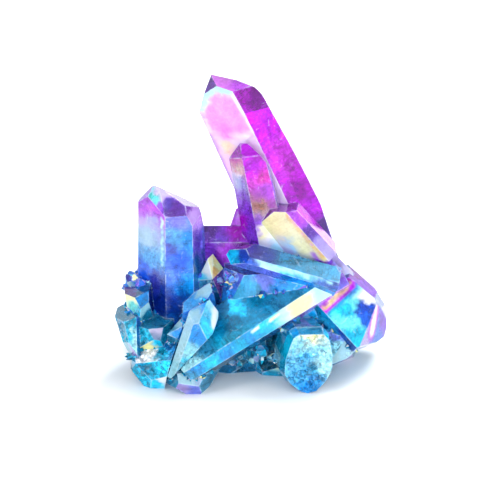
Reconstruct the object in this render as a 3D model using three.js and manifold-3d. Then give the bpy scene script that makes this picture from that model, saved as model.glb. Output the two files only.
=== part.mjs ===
// Aqua aura quartz: a cluster of quartz points grown together on a low crust of broken
// quartz, cut off flat underneath. Millimetres, +Z up, the front towards -Y.
// The whole cluster is one solid, because its crystals grew into one another.
import * as THREE from "three";
import { ConvexGeometry } from "three/addons/geometries/ConvexGeometry.js";
import { mergeVertices } from "three/addons/utils/BufferGeometryUtils.js";
import Module from "manifold-3d";

// ---- driving dimensions -------------------------------------------------------------

const RHOMB_LEAN = 38; // a quartz end face rises this many degrees off its prism face
const MINOR_SET_BACK = 0.06; // the three smaller end faces, as a share of the width
const WIDTH_SPREAD = [0.86, 1.14]; // a side's distance from the axis, as shares of half the width
const LUMP_REACH = [0.8, 1]; // how far out a lump's faces stand, as shares of its half size
const GOLDEN_ANGLE = 137.5; // degrees from one face of a lump to the next, round it
const DRUSE_SIZE = [0.7, 1.2]; // the small points, as shares of their druse's own size
const DRUSE_SUNK = 0.8; // how much of a small point's length stands inside the rock
const DRUSE_PROUD = 0.7; // and how much stands out of it
const DRUSE_LEAN = 0.3; // how far a small point leans off the rock's own normal
const CUT_SIZE = 200; // the block of space above the cut, far wider than the cluster
const SIX = [0, 1, 2, 3, 4, 5];

// ---- repeatable scatter ---------------------------------------------------------------

// A small seeded generator, so that every build grows the same cluster.
function seeded(seed) {
  let state = seed;
  return (low = 0, high = 1) => {
    state = (state * 1664525 + 1013904223) % 4294967296;
    return low + ((high - low) * state) / 4294967296;
  };
}

const radians = THREE.MathUtils.degToRad;
const vector = (xyz) => new THREE.Vector3(...xyz);

// ---- solids ---------------------------------------------------------------------------

const wasm = await Module();
wasm.setup();

// A closed three.js geometry as a solid that can be joined and cut.
function solidFrom(geometry) {
  const bare = geometry.clone().deleteAttribute("normal");
  if (bare.hasAttribute("uv")) bare.deleteAttribute("uv");
  const merged = mergeVertices(bare, 1e-4);
  return new wasm.Manifold(
    new wasm.Mesh({
      numProp: 3,
      vertProperties: merged.getAttribute("position").array,
      triVerts: new Uint32Array(merged.index.array),
    }),
  );
}

// The corners that a set of planes { normal, reach } cuts off around a foot point.
function cornersOf(planes, foot) {
  const corners = [];
  const inside = (point) => planes.every((p) => p.normal.dot(point) <= p.reach + 1e-6);
  const isNew = (point) => corners.every((c) => c.distanceToSquared(point) > 1e-8);
  for (let i = 0; i < planes.length; i++)
    for (let j = i + 1; j < planes.length; j++)
      for (let k = j + 1; k < planes.length; k++) {
        const [p, q, r] = [planes[i], planes[j], planes[k]];
        const qr = q.normal.clone().cross(r.normal);
        const volume = p.normal.dot(qr);
        if (Math.abs(volume) < 1e-4) continue;
        const point = qr
          .multiplyScalar(p.reach)
          .addScaledVector(r.normal.clone().cross(p.normal), q.reach)
          .addScaledVector(p.normal.clone().cross(q.normal), r.reach)
          .divideScalar(volume);
        if (inside(point) && isNew(point)) corners.push(point);
      }
  return corners.map((corner) => corner.add(foot));
}

// A six-sided crystal from `foot` to `tip`. Side i faces `turn` + 60 i degrees round the
// axis (0 is the front), stands sides[i] mm off the axis at the foot, and leans in by
// `taper` degrees. Each end face is [turn, lean, reach]: its direction round the axis, its
// rise towards the tip in degrees, and its distance from the foot in mm.
function crystal({ foot, tip, turn, taper = 0, sides, ends }) {
  const start = vector(foot);
  const axis = vector(tip).sub(start).normalize();
  const front = new THREE.Vector3(0, -1, 0).projectOnPlane(axis).normalize();
  const right = axis.clone().cross(front);
  const facing = (turnBy, lean) =>
    front
      .clone()
      .multiplyScalar(Math.cos(radians(turnBy)))
      .addScaledVector(right, Math.sin(radians(turnBy)))
      .multiplyScalar(Math.cos(radians(lean)))
      .addScaledVector(axis, Math.sin(radians(lean)));
  const planes = [
    { normal: axis.clone().negate(), reach: 0 },
    ...SIX.map((i) => ({ normal: facing(turn + 60 * i, taper), reach: sides[i] })),
    ...ends.map(([way, lean, reach]) => ({ normal: facing(way, lean), reach })),
  ];
  return solidFrom(new ConvexGeometry(cornersOf(planes, start)));
}

// A regular quartz point: six end faces that meet at the tip, every other one smaller.
function quartzPoint({ foot, tip, width, turn = 0, taper = 1, random }) {
  const length = vector(tip).distanceTo(vector(foot));
  const sides = SIX.map(() => (width / 2) * random(...WIDTH_SPREAD));
  const ends = SIX.map((i) => {
    const setBack = (i % 2) * MINOR_SET_BACK * width;
    return [turn + 60 * i, RHOMB_LEAN, Math.sin(radians(RHOMB_LEAN)) * length + setBack];
  });
  return crystal({ foot, tip, turn, taper, sides, ends });
}

// A broken piece with flat faces: the hull of its corners.
const chunk = (corners) => solidFrom(new ConvexGeometry(corners.map(vector)));

// A piece cut by flat faces, each given as a point on it and the way that it faces.
function block(faces) {
  const middle = new THREE.Vector3();
  for (const [point] of faces) middle.addScaledVector(vector(point), 1 / faces.length);
  const planes = faces.map(([point, way]) => {
    const normal = vector(way).normalize();
    return { normal, reach: normal.dot(vector(point).sub(middle)) };
  });
  return solidFrom(new ConvexGeometry(cornersOf(planes, middle)));
}

// ---- the main crystals ------------------------------------------------------------------

// The tall spire that leans to the left over the rest.
const spire = crystal({
  foot: [15.1, 6, 10.5],
  tip: [-3.8, 6, 50.8],
  turn: -30,
  taper: 1.6,
  sides: [5.6, 7.2, 9.3, 6.8, 6.8, 7.9],
  ends: [
    [97, 3, 7.6],
    [97, 1, 6.6],
    [94, -7, 4.2],
    [31, 5, 9.6],
    [54, 57, 41.1],
    [-47, 51, 39.6],
    [-106, 41, 33.4],
    [110, 41, 32],
    [102, 20, 19.3],
    [140, 30, 23.5],
    [135, -1, 5.3],
  ],
});

// The slim point in front of it.
const companion = crystal({
  foot: [3.5, -1, 20],
  tip: [-1, -1, 41.5],
  turn: -55,
  taper: 2.1,
  sides: [2.8, 3.4, 5.1, 2.8, 3.5, 4.2],
  ends: [
    [9, 32, 13.7],
    [-58, 20, 9.2],
    [119, 25, 10.3],
    [173, 32, 11.8],
    [-130, 46, 17.3],
  ],
});

// The stout blue point at the left.
const bluePoint = crystal({
  foot: [-14.7, -3, 8.5],
  tip: [-14.8, -2, 32.5],
  turn: -50,
  taper: 1,
  sides: [4.9, 6, 5.9, 5.5, 5.5, 6.5],
  ends: [
    [-66, 26, 15.2],
    [-102, 41, 20.5],
    [-133, 68, 25.6],
    [124, 62, 22.4],
    [-40, 19, 12.1],
    [9, 33, 16.8],
    [64, 23, 13.3],
    [85, 56, 21.6],
    [141, 55, 20.6],
    [110, 15, 10.5],
    [-150, 43, 18.9],
  ],
});

// The bright pale blade in the middle, leaning up to the left.
const paleBlade = crystal({
  foot: [13.8, -3, 21.1],
  tip: [5, -3, 31.5],
  turn: -30,
  taper: 0.8,
  sides: [3.2, 4.6, 3.2, 4, 4, 12],
  ends: [
    [-61, 72, 13.9],
    [-88, 40, 11.6],
    [100, 54, 10.7],
  ],
});

// A flat blade that lies across the middle.
const flatBlade = crystal({
  foot: [16.4, -9.4, 18.6],
  tip: [-3, -9, 24.5],
  turn: -50,
  taper: 0.8,
  sides: [2.4, 3, 1.9, 2.8, 2.5, 2.5],
  ends: [
    [30, 52, 15.3],
    [96, 33, 11.2],
  ],
});

// The broad slab that runs from the right down to the front left corner.
const slab = crystal({
  foot: [15.5, -4, 20],
  tip: [-13, -16, 5],
  turn: -60,
  taper: 1.5,
  sides: [5.4, 5.4, 2.8, 7.6, 4, 4],
  ends: [
    [-74, 27, 18.9],
    [116, 43, 23],
    [-109, 78, 34.3],
    [-20, 60, 33.5],
  ],
});

// The slim clear point that leans against the slab at the front left.
const frontPoint = crystal({
  foot: [-13, -17.6, 2.4],
  tip: [-7.5, -15, 17],
  turn: -50,
  taper: -2,
  sides: [2.7, 2.2, 2.5, 2.5, 2.5, 2],
  ends: [
    [-20, 37, 9.4],
    [41, 27, 6.8],
    [99, 55, 13.2],
    [83, 2, 3.1],
    [78, -22, -1.3],
    [-106, 40, 10.4],
  ],
});

// The short stub at the front right: a prism broken straight across, its end to the front.
// The outline is [x, z] round that end. Its sides swell out a little just behind the break.
const stubEnd = [
  [8, 11], [9.2, 11.7], [13.6, 11.8], [14.7, 10.6], [15.3, 7.5], [15.2, 4.6], [14, 2.3],
  [12.3, 0.4], [10.8, 0], [9.4, 0.3], [7.4, 2], [6.4, 3.8], [6.6, 6.8],
];
const STUB_FRONT = -18.5;
const STUB_SWELL = { y: -16, middle: [11, 6], out: 1.1 };
const STUB_BACK = -7;
const STUB_DRIFT = [-2.2, -0.6]; // how far the far end lies to the left and down
const stub = chunk([
  ...stubEnd.map(([x, z]) => [x, STUB_FRONT, z]),
  ...stubEnd.map(([x, z]) => {
    const { y, middle, out } = STUB_SWELL;
    return [middle[0] + (x - middle[0]) * out - 0.5, y, middle[1] + (z - middle[1]) * out];
  }),
  ...stubEnd.map(([x, z]) => [x + STUB_DRIFT[0], STUB_BACK, z + STUB_DRIFT[1]]),
]);

// ---- broken and intergrown pieces ---------------------------------------------------------

// The purple crystal that lies between the blue point and the spire, and its low peak.
const bridge = crystal({
  foot: [-13, 6, 17.5],
  tip: [3, 6, 17.5],
  turn: -52,
  taper: 0,
  sides: [9.4, 6.5, 6, 6, 5.5, 6.2],
  ends: [[0, 90, 16]],
});
const bridgePeak = chunk([
  [-4, 2, 25], [-2.6, 3, 29], [-1.5, 2.5, 29], [0.5, 1, 22], [-4, 6, 24], [-2, 7, 27.2], [1, 7, 20],
]);

// The mass in which the middle crystals stand, with a purple face to the front.
const heart = block([
  [[2.5, -9.2, 20.3], [-0.17, -0.98, 0.04]],
  [[-4, -4.5, 19], [-0.8, -0.5, 0.35]],
  [[4, -4, 20.5], [-0.15, 0, 1]],
  [[14.5, 2, 22], [0.5, 0.1, 0.9]],
  [[15.5, -2, 16], [0.9, -0.3, 0.2]],
  [[4, 8, 14], [0, 0.8, 0.6]],
  [[-6, 0, 8], [-1, 0, 0.1]],
  [[13, 2, 8], [1, 0, 0]],
  [[3, -9.3, 12], [0, -1, -0.2]],
  [[3, 9, 8], [0, 1, 0]],
  [[3, 0, 5], [0, 0, -1]],
]);

// The root of the spire, which slopes down to the right behind the blades.
const root = block([
  [[17.2, 0, 19.7], [0.71, 0.22, 0.67]],
  [[11, -1, 23.5], [-0.1, 0.1, 1]],
  [[14, -5.5, 18], [0.1, -1, 0.2]],
  [[20, -2, 15], [1, -0.2, 0]],
  [[14, 4, 17], [0.2, 1, 0.1]],
  [[9, 0, 16], [-1, 0, 0]],
  [[14, 0, 11], [0, 0, -1]],
]);

// The small pale pyramid in front of the bridge, on its blue footing.
const pyramid = chunk([
  [-10, -5.5, 17.5], [-8, -4.5, 21.5], [-7, -7.5, 18.5], [-7, -3, 22], [-5, -3, 19],
  [-6.5, -6, 18.5], [-7.5, 2, 16], [-10, -4, 12], [-5, -4, 12],
]);
const pyramidFooting = chunk([
  [-12.5, -7, 13.5], [-12.5, -9, 12.5], [-8.5, -10, 15.5], [-7, -7, 16.5], [-8, -4, 16],
  [-10, -5, 15.5], [-12, -8, 6], [-5, -9, 8], [-6, -2, 6], [-12, -2, 6],
]);

// The broad glassy lobe at the right, its bright flat face to the front.
const lobe = block([
  [[19.6, -11, 12], [0.18, -0.8, 0.56]],
  [[20, -4.4, 17.8], [0.59, -0.08, 0.8]],
  [[22.8, -4, 16.2], [0.66, 0.23, 0.71]],
  [[24.2, -4, 14.5], [0.85, 0.14, 0.5]],
  [[25.1, -4, 12.7], [0.91, -0.15, 0.4]],
  [[25.7, -4, 10.7], [0.97, -0.2, 0.2]],
  [[26, -4, 8.5], [1, -0.05, 0.02]],
  [[24.6, -6.6, 8], [0.87, -0.48, -0.05]],
  [[25.8, -4, 6.3], [0.96, -0.15, -0.23]],
  [[24.8, -4, 4.8], [0.6, -0.33, -0.73]],
  [[22.2, -4, 3.4], [0.33, -0.37, -0.87]],
  [[21.7, -10.5, 6.1], [0.5, -0.47, -0.73]],
  [[15.5, -10.5, 8.7], [-0.66, -0.66, -0.35]],
  [[16, -7, 17.5], [-0.4, 0, 0.9]],
  [[24.5, 1, 11], [0.75, 0.6, 0.3]],
  [[18, 3, 10], [0.1, 0.95, 0.3]],
  [[11, -2, 8], [-1, 0, 0]],
  [[18, 0, 2.5], [0.15, 0, -1]],
]);

// The low druzy ledge between the stub and the lobe.
const ledge = chunk([
  [14, -12, 10], [18, -12, 8.5], [20.3, -11.5, 6], [18, -13.5, 4.8], [14.5, -15, 4],
  [12, -6, 1], [19, -6, 4], [12, -6, 9],
]);

const leftLumps = [
  // the lowest, at the front left corner
  [
    [[-17.4, -14.7, 6.9], [-0.29, -0.25, 0.92]],
    [[-17.6, -17.7, 4.3], [-0.31, -0.95, 0.06]],
    [[-21.7, -14, 5.1], [-0.94, -0.16, 0.31]],
    [[-22.1, -12, 2.2], [-0.98, -0.05, -0.13]],
    [[-21.1, -15, 1.9], [-0.61, -0.7, -0.36]],
    [[-21.2, -12, 0.3], [-0.78, -0.28, -0.56]],
    [[-17.8, -16.5, 0.4], [-0.06, -0.85, -0.52]],
    [[-14.5, -16.8, 5.9], [0.96, -0.13, -0.24]],
    [[-18.3, -12.2, 7.8], [-0.46, 0.29, 0.84]],
    [[-16, -7, 3], [0, 1, 0.2]],
    [[-16, -12, -1], [0, 0, -1]],
  ],
  // the bulge on the far left
  [
    [[-23.9, -8.3, 11.9], [-0.52, -0.08, 0.85]],
    [[-24.8, -9, 9], [-0.91, -0.4, -0.05]],
    [[-25.5, -7, 9.6], [-1, 0.1, -0.03]],
    [[-22.2, -13.2, 11.2], [-0.53, -0.8, 0.27]],
    [[-23.2, -11.5, 6.3], [-0.83, -0.46, -0.32]],
    [[-24.3, -7, 7], [-0.85, -0.1, -0.5]],
    [[-23, -7, 4.1], [-0.94, -0.05, -0.35]],
    [[-20.7, -12.9, 10.7], [0.95, -0.29, 0.13]],
    [[-22, -9, 12.5], [0.35, 0.21, 0.91]],
    [[-20, -2, 6], [-0.2, 1, 0.2]],
    [[-20, -8, 2], [0, 0, -1]],
  ],
  // the bright block over it
  [
    [[-21.3, -8.2, 16.3], [-0.15, -0.05, 0.99]],
    [[-20.1, -10.7, 15.6], [0.39, -0.58, 0.72]],
    [[-21.6, -10.7, 14], [-0.78, -0.62, -0.03]],
    [[-19.7, -11.2, 13.5], [0.8, -0.57, -0.19]],
    [[-23.5, -7, 15], [-0.98, -0.1, -0.14]],
    [[-23.3, -5, 17], [-0.9, 0.3, 0.3]],
    [[-18.5, -8, 14], [0.99, -0.08, 0.14]],
    [[-22, -9.7, 12.2], [-0.79, -0.54, -0.29]],
    [[-20, -2, 12], [0, 0.9, 0.4]],
    [[-20, -6, 7], [0, 0, -1]],
  ],
  // the low block between the bulge and the front point
  [
    [[-17.6, -10.2, 11.1], [0.03, -0.08, 1]],
    [[-17.5, -13.5, 10.4], [0.22, -0.78, 0.59]],
    [[-19.6, -13.5, 9.8], [-0.44, -0.87, 0.23]],
    [[-15.4, -11.3, 10.3], [0.9, -0.41, 0.12]],
    [[-21, -10, 8], [-1, 0, 0.1]],
    [[-17.5, -13.6, 7], [0, -0.9, -0.4]],
    [[-18, -6, 8], [0, 1, 0.2]],
    [[-18, -8, 3], [0, 0, -1]],
  ],
].map(block);

// The thin pale flake beside the front point.
const flake = chunk([
  [-15.5, -14, 10], [-13, -13, 12.7], [-11.5, -12, 13.7], [-12.5, -15, 12], [-13.5, -15, 9.5],
  [-12, -11, 6], [-15, -12, 6],
]);

// The blue shoulder between the front point and the slab.
const shoulder = block([
  [[-10.2, -13.4, 16.2], [-0.35, -0.6, 0.72]],
  [[-12.5, -12, 14.7], [-1, 0, 0.07]],
  [[-11.4, -12, 16.5], [-0.69, 0.24, 0.68]],
  [[-8.9, -12, 18.6], [-0.54, 0.29, 0.79]],
  [[-7.2, -12, 18.7], [0.95, 0.12, 0.27]],
  [[-7.5, -12, 17], [0.85, -0.17, -0.49]],
  [[-10, -14, 12], [0, -1, -0.1]],
  [[-10, -6, 12], [0, 1, 0]],
  [[-10, -11, 6], [0, 0, -1]],
]);

// The blunt broken foot of the slab, at the front left.
const slabFoot = block([
  [[-11.3, -19.6, 4], [0.24, -0.84, 0.48]],
  [[-11.1, -19.7, 1.3], [0.02, -0.85, -0.52]],
  [[-7.2, -16.6, 1.6], [0.78, -0.5, -0.1]],
  [[-8.2, -17, 0.1], [0.65, -0.29, -0.7]],
  [[-7, -17, 1.7], [0.84, -0.19, -0.49]],
  [[-14.6, -17, 0.8], [-0.49, -0.36, -0.79]],
  [[-15.5, -16, 1.5], [-0.9, -0.4, 0.1]],
  [[-11, -19, 4.7], [0, -0.2, 1]],
  [[-10, -11, 3], [0, 1, 0]],
  [[-10, -12, -1], [0, 0, -1]],
]);

// ---- the crust underneath -----------------------------------------------------------------

// A lump of broken quartz: flat faces all round, each set near a squashed ball of the given
// half sizes, a little in or out.
function lump(centre, half, count, random) {
  const faces = [];
  for (let i = 0; i < count; i++) {
    const up = 1 - (2 * (i + 0.5)) / count;
    const round = i * radians(GOLDEN_ANGLE);
    const flat = Math.sqrt(1 - up * up);
    const way = new THREE.Vector3(flat * Math.cos(round), flat * Math.sin(round), up);
    const reach = way.clone().multiply(vector(half)).length() * random(...LUMP_REACH);
    faces.push([way.clone().multiplyScalar(reach).add(vector(centre)).toArray(), way.toArray()]);
  }
  return block(faces);
}

const crustRandom = seeded(11);
const crust = [
  lump([-1, 2, 1], [17, 12, 12], 34, crustRandom),
  lump([-13, 4, 1], [9.5, 9, 9], 24, crustRandom),
  lump([13, 3, 2], [8.5, 9.5, 10], 24, crustRandom),
  lump([2, 11, 1], [12, 8, 9], 26, crustRandom),
  lump([-16, -7, 2], [7, 8, 8], 22, crustRandom),
  lump([7, -4, 3], [8, 8, 8], 22, crustRandom),
];

// ---- the crystals behind --------------------------------------------------------------------

const rearRandom = seeded(7);
const rear = [
  { foot: [1, 6, 6], tip: [2.5, 19, 26], width: 8, turn: 10 },
  { foot: [-8, 6, 5], tip: [-15, 16, 22], width: 7, turn: 40 },
  { foot: [8, 6, 6], tip: [13, 15.5, 18.5], width: 6, turn: 0 },
  { foot: [-3, 10, 4], tip: [-6, 22, 13], width: 6, turn: 25 },
  { foot: [-13, 4, 4], tip: [-21.5, 12.5, 10], width: 6, turn: 15 },
  { foot: [14, 4, 4], tip: [22, 11, 8], width: 6, turn: 50 },
  { foot: [6, 12, 3], tip: [10, 21, 8], width: 5, turn: 30 },
  { foot: [-7, 6, 6], tip: [-8.5, 13, 21], width: 8, turn: 20 },
  { foot: [-3, 8, 6], tip: [-2, 15.5, 18], width: 6, turn: 45 },
  { foot: [12, 4, 6], tip: [16.5, 10, 16], width: 7, turn: 20 },
].map((shape) => quartzPoint({ ...shape, random: rearRandom }));

// ---- small points ---------------------------------------------------------------------------

// A druse: small points that stand out round a patch of an ellipsoid, given by its centre and
// half sizes. The patch runs `from`..`to` degrees round it (0 is +X, 90 is the back) and
// `low`..`high` degrees up it.
function druse({ centre, half, from, to, low, high, count, width, length, seed }) {
  const random = seeded(seed);
  const points = [];
  for (let i = 0; i < count; i++) {
    const round = radians(from + ((to - from) * (i + random(0.2, 0.8))) / count);
    const rise = radians(random(low, high));
    const out = new THREE.Vector3(
      Math.cos(round) * Math.cos(rise),
      Math.sin(round) * Math.cos(rise),
      Math.sin(rise),
    );
    const seat = out.clone().multiply(vector(half)).add(vector(centre));
    const lean = new THREE.Vector3(
      random(-DRUSE_LEAN, DRUSE_LEAN),
      random(-DRUSE_LEAN, DRUSE_LEAN),
      random(0, 2 * DRUSE_LEAN),
    );
    const way = out.clone().add(lean).normalize();
    const size = random(...DRUSE_SIZE);
    points.push(
      quartzPoint({
        foot: seat.clone().addScaledVector(way, -DRUSE_SUNK * length * size).toArray(),
        tip: seat.clone().addScaledVector(way, DRUSE_PROUD * length * size).toArray(),
        width: width * size,
        turn: random(0, 60),
        random,
      }),
    );
  }
  return points;
}

const druses = [
  {
    // round the back and the sides of the crust
    centre: [0, 5, 1], half: [18, 13, 8], from: 5, to: 175, low: 10, high: 55,
    count: 26, width: 2.6, length: 4.2, seed: 3,
  },
  {
    // the left shoulder, beside the blue point
    centre: [-20, -3, 13], half: [2.5, 4, 4], from: 110, to: 250, low: 30, high: 60,
    count: 6, width: 2.8, length: 3.6, seed: 5,
  },
  {
    // the sparkling patch between the pyramid and the flat blade
    centre: [-3, -4, 16], half: [3, 3.5, 3], from: 200, to: 300, low: 20, high: 60,
    count: 6, width: 1.6, length: 2, seed: 21,
  },
  {
    // the hollow between the slab and the stub
    centre: [1, -6, 3], half: [6, 5, 4], from: 200, to: 340, low: -10, high: 40,
    count: 9, width: 2.2, length: 2.6, seed: 9,
  },
].flatMap(druse);

// ---- output -----------------------------------------------------------------------------

const grown = [
  spire, companion, bluePoint, paleBlade, flatBlade, slab, frontPoint, stub,
  bridge, bridgePeak, heart, root, pyramid, pyramidFooting, lobe, ledge, shoulder, slabFoot,
  flake, ...leftLumps, ...crust, ...rear, ...druses,
].reduce((whole, piece) => whole.add(piece));

// The cluster was sawn off its rock along z = 0, and its origin is the middle of that cut,
// halfway along its overall width and depth.
const above = new THREE.BoxGeometry(CUT_SIZE, CUT_SIZE, CUT_SIZE).translate(0, 0, CUT_SIZE / 2);
// A hollow that its crystals seal in is filled, by keeping the outer skin alone.
const sawn = grown
  .intersect(solidFrom(above))
  .decompose()
  .reduce((most, skin) => (skin.volume() > most.volume() ? skin : most));
const { min, max } = sawn.boundingBox();
const centred = sawn.translate([-(min[0] + max[0]) / 2, -(min[1] + max[1]) / 2, 0]);
const mesh = centred.getMesh();
const geometry = new THREE.BufferGeometry();
geometry.setAttribute("position", new THREE.BufferAttribute(mesh.vertProperties, 3));
geometry.setIndex(new THREE.BufferAttribute(mesh.triVerts, 1));
const quartz = new THREE.Mesh(
  geometry,
  new THREE.MeshStandardMaterial({
    color: "#5aa6dc",
    roughness: 0.1,
    metalness: 0,
    flatShading: true,
  }),
);
quartz.name = "quartz_cluster";

const cluster = new THREE.Group();
cluster.add(quartz);
export default cluster;
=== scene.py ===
import math

import bmesh
import bpy
import numpy as np
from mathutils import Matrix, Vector
from mathutils.bvhtree import BVHTree
from mathutils.geometry import delaunay_2d_cdt


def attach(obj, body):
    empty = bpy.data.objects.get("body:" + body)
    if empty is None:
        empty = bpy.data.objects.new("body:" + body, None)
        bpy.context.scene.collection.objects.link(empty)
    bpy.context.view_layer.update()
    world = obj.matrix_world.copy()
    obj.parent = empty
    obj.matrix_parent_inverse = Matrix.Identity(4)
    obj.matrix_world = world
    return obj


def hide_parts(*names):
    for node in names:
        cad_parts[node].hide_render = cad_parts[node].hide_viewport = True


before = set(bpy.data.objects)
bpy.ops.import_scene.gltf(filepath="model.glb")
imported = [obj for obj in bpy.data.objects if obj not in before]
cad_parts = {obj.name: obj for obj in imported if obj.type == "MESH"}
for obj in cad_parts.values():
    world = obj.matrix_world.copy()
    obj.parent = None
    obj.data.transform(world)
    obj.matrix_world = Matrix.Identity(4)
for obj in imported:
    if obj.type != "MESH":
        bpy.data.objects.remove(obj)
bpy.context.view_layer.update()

# ---- the crystal faces ------------------------------------------------------------------
# The cluster is one body of quartz whose flat faces meet in crisp edges. Each face of the
# solid is meshed anew, finely enough to carry growth waves, broken texture and a change of
# colour, with a thin worn strip along every edge.

MM = 0.001
SAME_POINT = 1e-7  # metres: corners of neighbouring triangles that are one point
SAME_FACE = math.radians(0.3)
CLEAR_BEND = 0.3  # radians: only edges that bend more than this carry the painted pale highlight line
EDGE_STEP = 0.7  # mm between points along an edge
FACE_STEP = 0.6  # mm between points across a face
WORN = 0.12  # mm, width of the worn strip beside an edge
SAWN_STEP = 3  # the sawn underside is flat, so its points stand this many times wider
SAWN_NORMAL = -0.999  # only the underside's normal points down this steeply
TINY = 1e-9  # least length or square of a length that is divided by


def face_outlines(node):
    """The solid's flat faces: its triangles merged wherever neighbours lie in one plane.
    Returns the corner points in mm, the edges, each face's corners and edges in order, and
    the face normals."""
    merged = bmesh.new()
    merged.from_mesh(node.data)
    bmesh.ops.remove_doubles(merged, verts=merged.verts, dist=SAME_POINT)
    bmesh.ops.dissolve_limit(merged, angle_limit=SAME_FACE, verts=merged.verts, edges=merged.edges)
    flat = bpy.data.meshes.new("flat_faces")
    merged.to_mesh(flat)
    merged.free()
    corners = np.empty(3 * len(flat.vertices))
    edges = np.empty(2 * len(flat.edges), int)
    loop_corner = np.empty(len(flat.loops), int)
    loop_edge = np.empty(len(flat.loops), int)
    starts = np.empty(len(flat.polygons), int)
    normals = np.empty(3 * len(flat.polygons))
    flat.vertices.foreach_get("co", corners)
    flat.edges.foreach_get("vertices", edges)
    flat.loops.foreach_get("vertex_index", loop_corner)
    flat.loops.foreach_get("edge_index", loop_edge)
    flat.polygons.foreach_get("loop_start", starts)
    flat.polygons.foreach_get("normal", normals)
    bpy.data.meshes.remove(flat)
    faces = list(zip(np.split(loop_corner, starts[1:]), np.split(loop_edge, starts[1:])))
    return corners.reshape(-1, 3) / MM, edges.reshape(-1, 2), faces, normals.reshape(-1, 3)


def edge_points(corners, edges):
    """Points at even steps along every edge, shared by the two faces that meet there. Returns
    them, the number of steps of each edge, and the index of each edge's first point."""
    a, b = corners[edges[:, 0]], corners[edges[:, 1]]
    steps = np.ceil(np.linalg.norm(b - a, axis=1) / EDGE_STEP).astype(int)
    first = np.concatenate([[0], np.cumsum(steps - 1)[:-1]])
    owner = np.repeat(np.arange(len(edges)), steps - 1)
    along = (np.arange(len(owner)) - first[owner] + 1) / steps[owner]
    points = a[owner] + (b - a)[owner] * along[:, None]
    return points, steps, first + len(corners)


def edge_gap(points, a, b):
    """For points in a face's plane: the distance to the nearest side of its outline, whose
    sides run from a to b, and whether the point is inside, by counting the sides that a line
    to the right crosses."""
    side = b - a
    square = np.maximum((side**2).sum(1), TINY)
    away = points[:, None] - a
    share = np.clip((away * side).sum(2) / square, 0, 1)
    gap = np.sqrt(((away - share[..., None] * side) ** 2).sum(2).min(1))
    height = points[:, 1:2]
    crosses = (a[:, 1] > height) != (b[:, 1] > height)
    rise = np.where(side[:, 1] == 0, 1, side[:, 1])
    reach = a[:, 0] + (height - a[:, 1]) * side[:, 0] / rise
    inside = (crosses & (points[:, :1] < reach)).sum(1) % 2 == 1
    return gap, inside


# Shares of the worn strip's width: how near a side its points may stand, how near each other
# before they are one, and how far a corner may push them in, as a divisor.
STRIP_GAP = 0.8
STRIP_MERGE = 0.75
STRIP_CORNER = 0.45
FOLDED = 1e-3  # least length of the sum of two sides' normals, where an outline turns back
GRID_GAP = 0.45  # share of the grid's step that stays free beside the strip


def points_inside(outline, step):
    """Points inside a flat outline: one beside each outline point, the worn strip's width in,
    along the mean of its two sides' normals, and a hexagonal grid over the rest."""
    a, b = outline, np.roll(outline, -1, 0)
    side = b - a
    length = np.maximum(np.linalg.norm(side, axis=1, keepdims=True), TINY)
    inward = np.stack([-side[:, 1], side[:, 0]], 1) / length
    middle = inward + np.roll(inward, 1, 0)
    middle /= np.maximum(np.linalg.norm(middle, axis=1, keepdims=True), FOLDED)
    beside = a + middle * WORN / np.maximum((middle * inward).sum(1, keepdims=True), STRIP_CORNER)
    gap, inside = edge_gap(beside, a, b)
    beside = beside[inside & (gap > STRIP_GAP * WORN)]
    if len(beside):
        cells = np.round(beside / (STRIP_MERGE * WORN)).astype(int)
        beside = beside[np.sort(np.unique(cells, axis=0, return_index=True)[1])]
    low, high = outline.min(0), outline.max(0)
    x, y = np.meshgrid(
        np.arange(low[0], high[0], step), np.arange(low[1], high[1], step * math.sqrt(0.75))
    )
    x[1::2] += step / 2
    grid = np.stack([x.ravel(), y.ravel()], 1)
    gap, inside = edge_gap(grid, a, b) if len(grid) else (np.zeros(0), np.zeros(0, bool))
    return np.vstack([beside, grid[inside & (gap > WORN + GRID_GAP * step)]])


corners, edges, faces, normals = face_outlines(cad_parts["quartz_cluster"])
on_edges, steps, first_point = edge_points(corners, edges)
rim_points = np.vstack([corners, on_edges])


def outline_of(corner_ids, edge_ids):
    """The indices of a face's outline points in order: each corner, then the points of the
    edge that starts there, backwards where the edge runs the other way."""
    run = []
    for corner, edge in zip(corner_ids, edge_ids):
        between = first_point[edge] + np.arange(steps[edge] - 1)
        run.append([corner])
        run.append(between if edges[edge, 0] == corner else between[::-1])
    return np.concatenate(run).astype(int)


outlines = [outline_of(*face) for face in faces]

# How far the solid bends at each edge, in radians: above 0 on an outer edge, below 0 in a
# corner. Two outlines that meet without a bend are one facet.
bend = np.zeros(len(edges))
facing = np.zeros((len(edges), 3))
facet = np.arange(len(faces))
partner = {}
for face, (corner_ids, edge_ids) in enumerate(faces):
    heading = corners[np.roll(corner_ids, -1)] - corners[corner_ids]
    for edge, into in zip(edge_ids, np.cross(normals[face], heading)):
        if edge not in partner:
            partner[edge] = face
            facing[edge] = into
            continue
        angle = math.acos(np.clip(normals[partner[edge]] @ normals[face], -1, 1))
        bend[edge] = -math.copysign(angle, facing[edge] @ normals[face])
        if angle < 2 * SAME_FACE:
            facet[facet == facet[face]] = facet[partner[edge]]
clear_edge = np.abs(bend) > CLEAR_BEND
centres = np.array([
    rim_points[np.concatenate([outlines[i] for i in np.flatnonzero(facet == one)])].mean(0)
    for one in facet
])

triangles_of_cad = BVHTree.FromPolygons(
    [Vector(p) for p in rim_points], [ring.tolist() for ring in outlines]
)

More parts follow.
